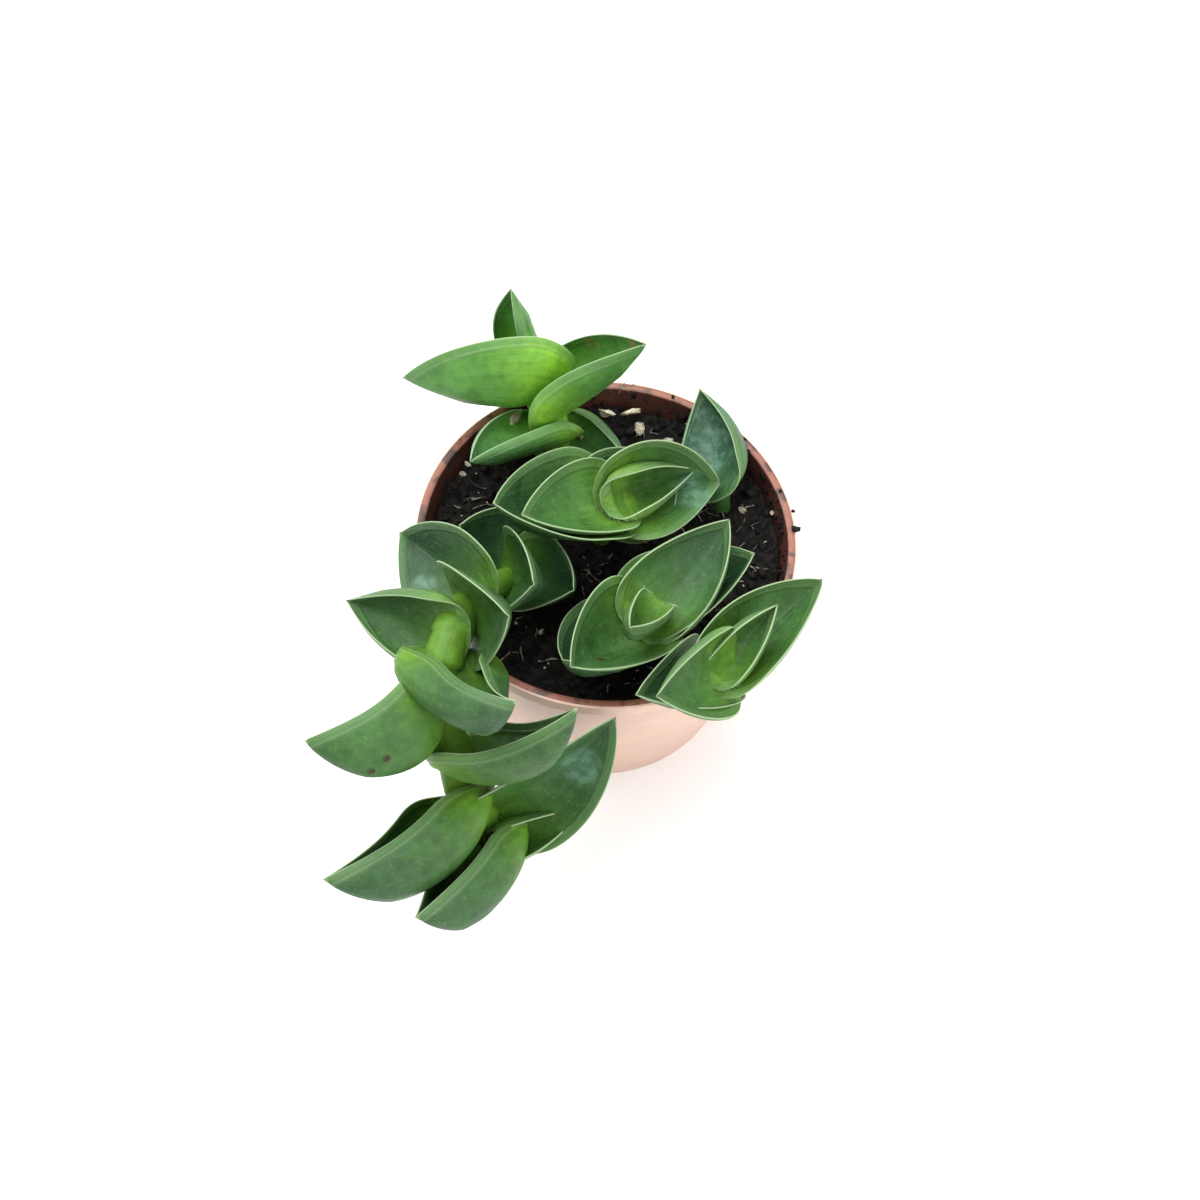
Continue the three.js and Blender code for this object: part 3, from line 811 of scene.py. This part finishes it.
def crumb_places(pot, soil, reach, dice):
    """Crumbs all over the soil, a fifth as many on the wall, and the ones on the rim."""
    places = []
    for _ in range(soil.crumbs):
        far, turn = math.sqrt(dice.random()), dice.uniform(0, 2 * math.pi)
        x, y = around(0.985 * reach * far, turn)
        size = 0.35 + 1.3 * dice.random() ** 3
        z = soil_height(soil, x, y) / MM + 0.18 * size
        sizes = (size * dice.uniform(0.7, 1.5), size, size * dice.uniform(0.45, 0.8))
        places.append(((x / MM, y / MM, z), sizes, (dice.uniform(0, 6.3), dice.uniform(-0.4, 0.4))))
    for _ in range(soil.crumbs // 5):
        turn = dice.gauss(0.25 * math.pi, 1.0)
        height = dice.uniform(soil.level + soil.bank, pot.height)
        x, y = around(inner_radius(pot, height) - 0.15 * MM, turn)
        size = 0.3 + 0.9 * dice.random() ** 3
        point = (x / MM, y / MM, height / MM)
        places.append((point, (size, size, 0.6 * size), (dice.uniform(0, 6.3), dice.uniform(-1, 1))))
    for point, size in RIM_CRUMBS:
        places.append((point, (1.4 * size, size, 0.8 * size), (dice.uniform(0, 6.3), 0.2)))
    return places


def fibre_shape(soil, reach, dice):
    """Fine fibres that wander over the soil, turned back near the wall, and the root hairs."""
    shape = Shape()
    for _ in range(soil.fibres):
        far, turn, bearing = math.sqrt(dice.random()), dice.uniform(0, 6.3), dice.uniform(0, 6.3)
        x, y = around(0.95 * reach / MM * far, turn)
        length, line = dice.uniform(1.0, 4.5), []
        for _ in range(FIBRE_STEPS):
            bearing += dice.uniform(-0.5, 0.5)
            z = soil_height(soil, x * MM, y * MM) / MM + 0.25 + 0.2 * dice.random()
            line.append((x, y, z))
            if math.hypot(x, y) < FIBRE_REACH:
                ahead = around(0.2 * length, bearing)
                x, y = x + ahead[0], y + ahead[1]
            else:
                x, y = 0.98 * x, 0.98 * y
        add_tube(shape, np.array(line), FIBRE_STEPS * [dice.uniform(0.06, 0.16)], FIBRE_SIDES)
    for start, end in ROOT_HAIRS:
        bend = [(start, 28.0, 38.9), (start + 0.5, 29.3, 39.6), (end, 29.7, 41.2)]
        add_tube(shape, np.array(bend), ROOT_RADII, FIBRE_SIDES)
    return shape


def grain_places(soil, reach, dice):
    """The perlite grains of the list and many small ones."""
    places = []
    for x, y, size in PERLITE:
        z = soil_height(soil, x * MM, y * MM) / MM + 0.2 * size
        sizes = (1.25 * size, size, 0.7 * size)
        places.append(((x, y, z), sizes, (dice.uniform(0, 6.3), dice.uniform(-0.5, 0.5))))
    for _ in range(soil.grains):
        far, turn, size = math.sqrt(dice.random()), dice.uniform(0, 6.3), dice.uniform(0.15, 0.5)
        x, y = around(0.95 * reach * far, turn)
        z = soil_height(soil, x, y) / MM + 0.15
        places.append(((x / MM, y / MM, z), 3 * (size,), (turn, far)))
    return places


class PLANT_OT_soil(bpy.types.Operator):
    """Make the lumpy soil with its crumbs, fibres, withered scraps and perlite"""
    bl_idname = "plant.soil"
    bl_label = "Soil"

    def execute(self, context):
        pot, soil = context.scene.pot_settings, context.scene.soil_settings
        colour, grain = tuple(soil.colour), tuple(soil.grain)
        reach = inner_radius(pot, soil.level) - SOIL_SLACK * MM
        obj = soil_mesh(pot, soil, reach)
        dark = grain_material("soil", scaled(colour, 2.4), scaled(colour, 0.4), scale=900.0)
        settle(obj, "soil_cake", dark)
        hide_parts("soil")

        dice = random.Random(31)
        shapes = [lump(seed, detail=1) for seed in range(1, 7)]
        crumbs = scatter("soil_crumbs", shapes, crumb_places(pot, soil, reach, dice))
        brown = grain_material("crumbs", scaled(colour, 3.0), scaled(colour, 0.4), scale=700.0)
        settle(crumbs, "soil_crumbs", brown)

        tubes = fibre_shape(soil, reach, dice)
        fibres = mesh_object("soil_fibres", tubes.points, tubes.faces)
        outward(fibres)
        straw = grain_material("fibres", scaled(colour, 45.0), scaled(colour, 6.0), scale=800.0)
        settle(fibres, "soil_fibres", straw)

        dead = scatter("withered_bits", [lump(seed, detail=3) for seed in (21, 22)], WITHERED)
        papery = grain_material("withered", (0.72, 0.66, 0.50), (0.24, 0.21, 0.11), scale=700.0)
        settle(dead, "withered_bits", papery)

        shapes = [lump(seed, detail=2) for seed in range(11, 15)]
        grains = scatter("perlite", shapes, grain_places(soil, reach, dice))
        cream = grain_material("perlite", grain, scaled(grain, 0.45), scale=1300.0)
        settle(grains, "perlite", cream)
        return {"FINISHED"}


# Stems and leaves


def stem_table(route):
    """Close points on the smooth curve through a route, and the length run up to each."""
    knots = np.array([np.subtract(np.multiply(2, route[0]), route[1]), *route,
                      np.subtract(np.multiply(2, route[-1]), route[-2])], float)
    u = np.linspace(0, 1, 40, endpoint=False)[:, None]
    runs = []
    for a, b, c, d in zip(knots, knots[1:], knots[2:], knots[3:]):
        runs.append(0.5 * (2 * b + (c - a) * u + (2 * a - 5 * b + 4 * c - d) * u ** 2
                           + (3 * b - a - 3 * c + d) * u ** 3))
    points = np.vstack(runs + [knots[-2:-1]])
    run = np.r_[0, np.cumsum(np.linalg.norm(np.diff(points, axis=0), axis=1))]
    return points, run


def stem_point(stem, place):
    points, run = stem
    return np.array([np.interp(place, run, points[:, k]) for k in range(3)])


def bump(t, rise, fall):
    """0 at both ends of t and 1 at its peak, steeper the smaller rise and fall are."""
    peak = rise / (rise + fall)
    return t ** rise * (1 - t) ** fall / (peak ** rise * (1 - peak) ** fall)


def leaf_faces(leaf, edge, rows=34, strips=26):
    """The inner and the outer face of a leaf in its own frame, as grids, with t and v of each line.

    t runs from the base to the tip and v from margin to margin, with closer lines at their ends.
    """
    length, depth, gape = leaf.length, leaf.depth, leaf.gape
    even = np.linspace(0, 1, rows + 1)
    t = 0.5 * even + 0.25 * (1 - np.cos(math.pi * even))
    s = np.linspace(-1, 1, strips + 1)
    v = 0.65 * np.sin(math.pi / 2 * s) + 0.35 * s

    # The middle line bends down and to the side from its place on the stem.
    heel = min(HEEL, 0.3 * length)
    along = -heel + (length + heel) * t
    out = np.maximum(along, 0) / length
    zero, one = np.zeros_like(t), np.ones_like(t)
    centre = np.stack([along, leaf.sweep * out ** 2, -leaf.droop * out ** 2], -1)
    tangent = unit(np.stack([one, 2 * leaf.sweep * out / length, -2 * leaf.droop * out / length], -1))
    up = unit(np.stack([zero, zero, one], -1) - tangent * tangent[:, 2:3])
    side = np.cross(up, tangent)

    # The base lies lower and flatter, and the rest is hollow like a canoe, with shallow dents.
    fall = 0.8 * depth * np.clip(1 - t / 0.4, 0, 1) ** 2
    full = depth * bump(t, HOLLOW_RISE, HOLLOW_FALL)
    hollow = np.maximum(full - 0.9 * fall, 0.25 * full)
    lift = depth * bump(heel / (length + heel), WIDTH_RISE, HOLLOW_FALL)
    dents = 0.17 * np.sin(8 * t + length)[:, None] * np.cos(2.2 * v + 3 * leaf.half)
    dents = dents * np.sin(math.pi * t)[:, None]
    height = (lift - fall)[:, None] - hollow[:, None] * (1 - np.abs(v) ** (1.7 - 0.5 * t)[:, None])
    height = height + dents

    # Past the base the margins of a narrow gape bend back towards each other.
    opening = (gape + (1 - gape) * np.clip(1 - t / 0.35, 0, 1) ** 2)[:, None]
    cross = opening * v + (1 - opening) * 2.6 * v * (1 - v ** 2)
    taper = 0.8 + 2 * (1 - gape) ** 2
    across = leaf.half * bump(t, WIDTH_RISE, taper)[:, None] * cross
    inner = centre[:, None] + across[..., None] * side[:, None] + height[..., None] * up[:, None]

    # The flesh is thickest along the keel and thins out to the tip.
    normal = unit(np.cross(np.gradient(inner, axis=1), np.gradient(inner, axis=0)))
    flesh = 1.0 + 0.8 * np.sqrt(4 * t * (1 - t)) - edge
    flesh = flesh * np.clip((1 - t) / 0.25, 0, 1) ** 0.9
    thick = edge + flesh[:, None] * (1 - np.abs(v) ** 1.5)
    outer = inner + normal * thick[..., None]
    outer[0] = inner[0, 0] - edge * (0.65 * tangent[0] + 0.75 * up[0])
    inner[-1] = outer[-1] = inner[-1, 0] + TIP * tangent[-1]
    return inner, outer, t, v


def leaf_frame(heading, climb, roll):
    """The directions along, across and up from a leaf, as the rows of a matrix."""
    h, c, r = (math.radians(a) for a in (heading, climb, roll))
    x = np.array([math.cos(h) * math.cos(c), math.sin(h) * math.cos(c), math.sin(c)])
    level = np.array([-math.cos(h) * math.sin(c), -math.sin(h) * math.sin(c), math.cos(c)])
    z = level * math.cos(r) + np.cross(level, x) * math.sin(r)
    return np.stack([x, np.cross(z, x), z])


def rim_distance(grid):
    """How far each point of a face lies from the nearer margin, along its row."""
    steps = np.linalg.norm(np.diff(grid, axis=1), axis=2)
    run = np.concatenate([np.zeros((len(grid), 1)), np.cumsum(steps, axis=1)], axis=1)
    return np.minimum(run, run[:, -1:] - run)


def add_leaf(shape, stem, leaf, edge):
    """Adds one leaf as a closed skin and returns the points of its inner face."""
    inner, outer, t, v = leaf_faces(leaf, edge)
    axes = leaf_frame(leaf.heading, leaf.climb, leaf.roll)
    foot = stem_point(stem, leaf.place)
    inner, outer = foot + inner @ axes, foot + outer @ axes
    middle = 0.5 * (inner + outer)
    swell = unit(np.gradient(middle, axis=1))
    common = {"along": t[:, None], "across": v[None], "age": leaf.age}
    inside = shape.grid(inner, rim=rim_distance(inner), inside=1.0, **common)
    outside = shape.grid(outer, rim=rim_distance(outer), inside=0.0, **common)
    # A ridge of points between the faces rounds each margin.
    for side, sign in ((0, -1), (-1, 1)):
        ridge = middle[:, side] + RIDGE * sign * swell[:, side]
        ridge[0], ridge[-1] = middle[0, side], middle[-1, side]
        common["across"] = float(sign)
        number = shape.grid(ridge[:, None], rim=0.0, inside=0.5, **common)
        strips = [inside[:, side], number[:, 0], outside[:, side]]
        shape.skin(np.stack(strips if side else strips[::-1], 1))
    shape.skin(inside)
    shape.skin(outside[:, ::-1])
    return inner


def add_hairs(shape, inner, dice):
    """Fine pale hairs on the margins where the youngest leaf clasps the stem."""
    middle = inner.shape[1] // 2
    for side in (0, -1):
        for row in HAIR_ROWS:
            root = inner[row, side]
            out = unit(root - inner[row, middle]) + 0.5 * unit(inner[row + 1, side] - root)
            out = unit(out + [dice.uniform(-0.4, 0.4) for _ in range(3)])
            length = dice.uniform(0.7, 1.5)
            bend = np.array([0, 0, 0.25 * length])
            line = np.array([root - 0.1 * out, root + 0.5 * length * out, root + length * out - bend])
            add_tube(shape, line, HAIR_RADII, sides=4, along=0.5, rim=0.0, inside=0.5, age=0.3)


def stem_radius(leaves, bare, place):
    """How thick the stem is at a place, in the sheaths of the leaves above it."""
    best = bare
    for leaf in leaves:
        below = leaf.place - place
        reach = min(SHEATH, leaf.place - SHEATH_START)
        if leaf.sheath and -SHEATH_CLOSE < below < reach:
            share = 1 - below / reach if below > 0 else 1 + below / SHEATH_CLOSE
            best = max(best, bare + (leaf.sheath - bare) * share ** 0.6)
    return best


def add_stem(shape, stem, leaves, radius, sides=20):
    """A stem wrapped in the sheaths of its leaves, each a little wider towards its leaf."""
    end = max(leaf.place for leaf in leaves) - STEM_STOP
    places = np.linspace(0, end, int(end / STEM_STEP) + 1)
    centres = np.array([stem_point(stem, p) for p in places])
    radii = []
    for place in places:
        near_end = max(place - end + STEM_ROUND, 0) / STEM_ROUND
        radii.append(stem_radius(leaves, radius, place) * (max(1 - near_end ** 2, 0) ** 0.5 + 0.01))
    turn = np.linspace(-1, 1, sides + 1)[None]
    add_tube(shape, centres, radii, sides, along=0.3, across=turn, rim=6.0, inside=0.3, age=0.25)


def shoot_mesh(name, shoot, settings):
    """A stem with its leaves as one mesh. A shoot of more than one leaf has hairs on the last."""
    shape = Shape()
    stem = stem_table(shoot["route"])
    leaves = [Leaf(*numbers) for numbers in shoot["leaves"]]
    add_stem(shape, stem, leaves, settings.stem / MM)
    for leaf in leaves:
        youngest = add_leaf(shape, stem, leaf, settings.edge / MM)
    if len(leaves) > 1:
        add_hairs(shape, youngest, random.Random(len(name)))
    low, high = (np.array(corner) / MM for corner in CAD_BOX)
    points = np.clip(shape.points, low + INSET, high - INSET)
    obj = mesh_object(name, points, shape.faces, shape.values)
    outward(obj)
    return obj


class PLANT_OT_shoots(bpy.types.Operator):
    """Make the six leafy shoots"""
    bl_idname = "plant.shoots"
    bl_label = "Shoots"

    def execute(self, context):
        leaf = context.scene.leaf_settings
        colours = {label: tuple(getattr(leaf, label.lower())) for label in LEAF_COLOURS}
        base, blade, old = colours["Base"], colours["Blade"], colours["Old"]
        young = {"Base": scaled(base, 1.9), "Blade": scaled(blade, 2.1), "Old": scaled(old, 1.9)}
        aged = {"Base": scaled(blade, 0.8), "Blade": scaled(old, 1.15), "Old": scaled(old, 0.85)}
        looks = {
            "leaf": leaf_material("leaf", **colours),
            "young_leaf": leaf_material("young_leaf", **{**colours, **young}),
            "old_leaf": leaf_material("old_leaf", **{**colours, **aged}),
        }
        for name, shoot in SHOOTS.items():
            obj = shoot_mesh("leafy_" + name, shoot, leaf)
            settle(obj, "leafy_" + name, looks[shoot["slot"]])
            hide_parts(name)
        return {"FINISHED"}


# Stage


def add_lamp(name, place, size, power, tint):
    """A square lamp that points at the plant."""
    lamp = bpy.data.lights.new(name, "AREA")
    lamp.size, lamp.energy, lamp.color = size, power, tint
    light = bpy.data.objects.new(name, lamp)
    bpy.context.collection.objects.link(light)
    light.location = place
    aim = Vector(LAMP_TARGET) - Vector(place)
    light.rotation_euler = aim.to_track_quat("-Z", "Y").to_euler()


def add_camera(stage, rim_height):
    """The camera, in front of the pot and looking down on it."""
    ahead = Vector((0, math.cos(stage.elevation), -math.sin(stage.elevation)))
    right = Vector((1, 0, 0))
    up = right.cross(ahead)
    cos, sin = math.cos(stage.lean), math.sin(stage.lean)
    right, up = cos * right + sin * up, cos * up - sin * right
    middle = Vector((0, 0, rim_height))
    left, down = CAMERA_SHIFT
    place = middle - left * MM * right - down * MM * up - stage.distance * ahead
    lens = bpy.data.cameras.new("camera")
    lens.lens, lens.sensor_width, lens.clip_start = stage.lens, 36, 0.01
    camera = bpy.data.objects.new("camera", lens)
    bpy.context.collection.objects.link(camera)
    camera.matrix_world = Matrix.Translation(place) @ Matrix((right, up, -ahead)).transposed().to_4x4()
    return camera


class PLANT_OT_stage(bpy.types.Operator):
    """Make the floor, the lights and the camera"""
    bl_idname = "plant.stage"
    bl_label = "Stage"

    def execute(self, context):
        stage = context.scene.stage_settings
        deselect()
        bpy.ops.mesh.primitive_plane_add(size=6)
        floor = context.object
        floor.name = "floor"
        material, _, shader = new_material("floor")
        shader.inputs["Base Color"].default_value = (*stage.floor, 1)
        shader.inputs["Roughness"].default_value = 0.9
        floor.data.materials.append(material)

        world = bpy.data.worlds.new("studio")
        world.use_nodes = True
        world.node_tree.nodes["Background"].inputs["Color"].default_value = (1, 1, 1, 1)
        world.node_tree.nodes["Background"].inputs["Strength"].default_value = SKY
        context.scene.world = world
        for lamp in LAMPS:
            add_lamp(*lamp)
        context.scene.camera = add_camera(stage, context.scene.pot_settings.height)
        context.scene.view_settings.view_transform = "Standard"
        return {"FINISHED"}


class PLANT_PT_panel(bpy.types.Panel):
    bl_label = "Chain plant"
    bl_space_type = "VIEW_3D"
    bl_region_type = "UI"
    bl_category = "Chain plant"

    def draw(self, context):
        for settings, (kind, operator) in PARTS.items():
            box = self.layout.box()
            for key in kind.__annotations__:
                box.prop(getattr(context.scene, settings), key)
            box.operator(operator.bl_idname)


# The settings kept on the scene, with their kind and the operator that goes by them
PARTS = {
    "pot_settings": (PotSettings, PLANT_OT_pot),
    "soil_settings": (SoilSettings, PLANT_OT_soil),
    "leaf_settings": (LeafSettings, PLANT_OT_shoots),
    "stage_settings": (StageSettings, PLANT_OT_stage),
}
CLASSES = [cls for pair in PARTS.values() for cls in pair] + [PLANT_PT_panel]


def register():
    for cls in CLASSES:
        bpy.utils.register_class(cls)
    for settings, (kind, _) in PARTS.items():
        setattr(bpy.types.Scene, settings, bpy.props.PointerProperty(type=kind))


def unregister():
    for settings in PARTS:
        delattr(bpy.types.Scene, settings)
    for cls in reversed(CLASSES):
        bpy.utils.unregister_class(cls)


def main():
    register()
    bpy.ops.plant.stage()
    bpy.ops.plant.pot()
    bpy.ops.plant.soil()
    bpy.ops.plant.shoots()


if __name__ == "__main__":
    main()
